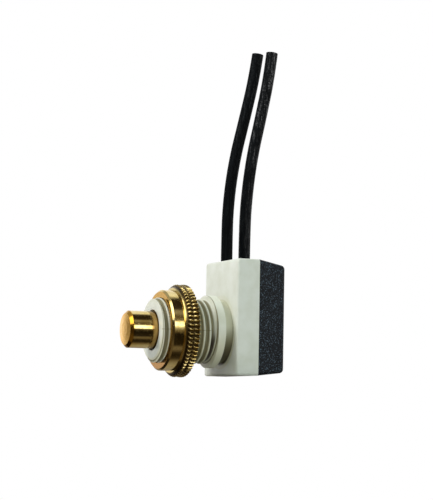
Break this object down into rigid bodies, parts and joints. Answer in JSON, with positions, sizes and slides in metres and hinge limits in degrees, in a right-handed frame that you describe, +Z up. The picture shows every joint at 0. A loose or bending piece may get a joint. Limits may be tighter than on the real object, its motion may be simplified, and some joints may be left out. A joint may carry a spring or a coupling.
{
  "type": "push-button canopy switch",
  "caption": "Push-button on-off canopy switch: cream and black block, threaded bushing with knurled brass nut, brass button and two black leads.",
  "frame": {"origin": "on the bushing's axis, at the front edge of the coned shoulder, where the lamp's sheet metal seats", "axes": "+Y runs back along the bushing from the button into the block, +Z is up towards the leads, +X is to the side"},
  "size_m": [0.016, 0.027, 0.0581],
  "materials": {
    "cream_plastic": "moulded, satin",
    "black_plastic": "moulded, fine grain",
    "brass": "turned, lacquered",
    "white_plastic": "moulded",
    "spring_steel": "bright wire",
    "washer_steel": "stamped",
    "brown_fibre": "moulded",
    "contact_brass": "stamped",
    "silver_contact": "polished",
    "copper_strands": "bare strands",
    "black_insulation": "extruded, semi-gloss",
    "screw_steel": "zinc plated"
  },
  "bodies": {
    "housing": {"front_housing": "cream_plastic", "rear_cover": "black_plastic", "cover_screws": "screw_steel", "contact_left": "contact_brass", "contact_right": "contact_brass", "contact_rivets": "silver_contact", "conductor_left": "copper_strands", "conductor_right": "copper_strands", "lead_left": "black_insulation", "lead_right": "black_insulation", "return_spring": "spring_steel", "rotor_washer": "washer_steel"},
    "nut": {"knurled_nut": "brass"},
    "button": {"button_cap": "brass", "plunger": "white_plastic"},
    "rotor": {"ratchet_rotor": "brown_fibre", "contact_plate": "contact_brass", "spring_washer": "washer_steel"}
  },
  "joints": [
    {"name": "button_press", "type": "slide", "parent": "housing", "child": "button", "axis": [0, 1, 0], "range_m": [0, 0.0025], "stiffness_N_per_m": 900, "springref_m": -0.0012, "deforming": ["return_spring"]},
    {"name": "rotor_turn", "type": "hinge", "parent": "housing", "child": "rotor", "pos_m": [0, 0, 0], "axis": [0, 1, 0], "range_deg": [0, 45]},
    {"name": "nut_travel", "type": "slide", "parent": "housing", "child": "nut", "axis": [0, -1, 0], "range_m": [-0.0029, 0.0115]}
  ],
  "couplings": [
    {"joint": "rotor_turn", "follows": "button_press", "rad_per_m": 314.16}
  ]
}
